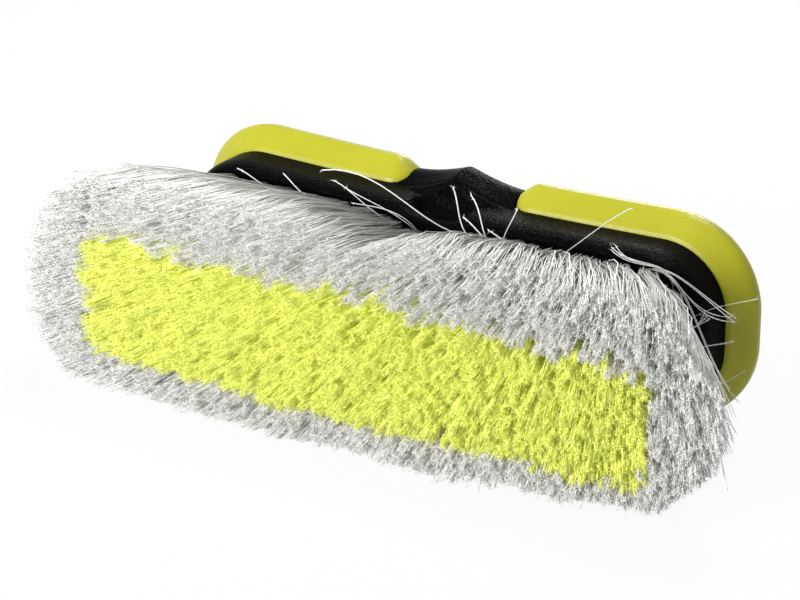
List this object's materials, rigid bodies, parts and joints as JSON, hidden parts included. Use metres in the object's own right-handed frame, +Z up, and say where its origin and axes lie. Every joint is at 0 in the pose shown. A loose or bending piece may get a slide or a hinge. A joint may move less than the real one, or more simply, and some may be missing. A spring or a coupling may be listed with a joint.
{
  "type": "water-fed wash brush head",
  "caption": "Oblong flow-through wash brush head with flared soft bristles, rubber end bumpers and a leaning neck with a swivel hose nut.",
  "frame": {"origin": "on the surface that the brush lies on, under the middle of its box", "axes": "+X along the brush towards its right end, +Y from the bristles back to the neck, +Z up across the brush's width"},
  "size_m": [0.3492, 0.1522, 0.1009],
  "materials": {
    "black_plastic": "moulded leather grain",
    "lime_rubber": "smooth satin",
    "grey_bristle": "fine filaments with split tips",
    "lime_bristle": "fine filaments with split tips",
    "grey_plastic": "moulded",
    "black_rubber": "matt",
    "stainless_steel": "plain",
    "brass": "turned"
  },
  "bodies": {
    "head": {"housing": "black_plastic", "bumper_left": "lime_rubber", "bumper_right": "lime_rubber", "flow_plate": "grey_plastic", "chamber_gasket": "black_rubber", "plate_screw_1": "stainless_steel", "plate_screw_2": "stainless_steel", "plate_screw_3": "stainless_steel", "plate_screw_4": "stainless_steel", "plate_screw_5": "stainless_steel", "plate_screw_6": "stainless_steel", "spray_nozzle_left": "brass", "spray_nozzle_right": "brass", "inlet_stem": "brass", "stem_o_ring_1": "black_rubber", "stem_o_ring_2": "black_rubber", "stem_pin": "stainless_steel", "hose_washer": "black_rubber", "inlet_strainer": "stainless_steel", "grey_bristles_left_end": "grey_bristle", "grey_bristles_right_end": "grey_bristle", "grey_bristles_top_left": "grey_bristle", "grey_bristles_top_middle": "grey_bristle", "grey_bristles_top_right": "grey_bristle", "grey_bristles_bottom_left": "grey_bristle", "grey_bristles_bottom_middle": "grey_bristle", "grey_bristles_bottom_right": "grey_bristle", "lime_bristles_left": "lime_bristle", "lime_bristles_middle": "lime_bristle", "lime_bristles_right": "lime_bristle"},
    "nut": {"coupling_nut": "black_plastic"}
  },
  "joints": [
    {"name": "nut_turn", "type": "hinge", "parent": "head", "child": "nut", "pos_m": [0, 0.05985, 0.02797], "axis": [0, 0.866, -0.5], "continuous": true}
  ]
}
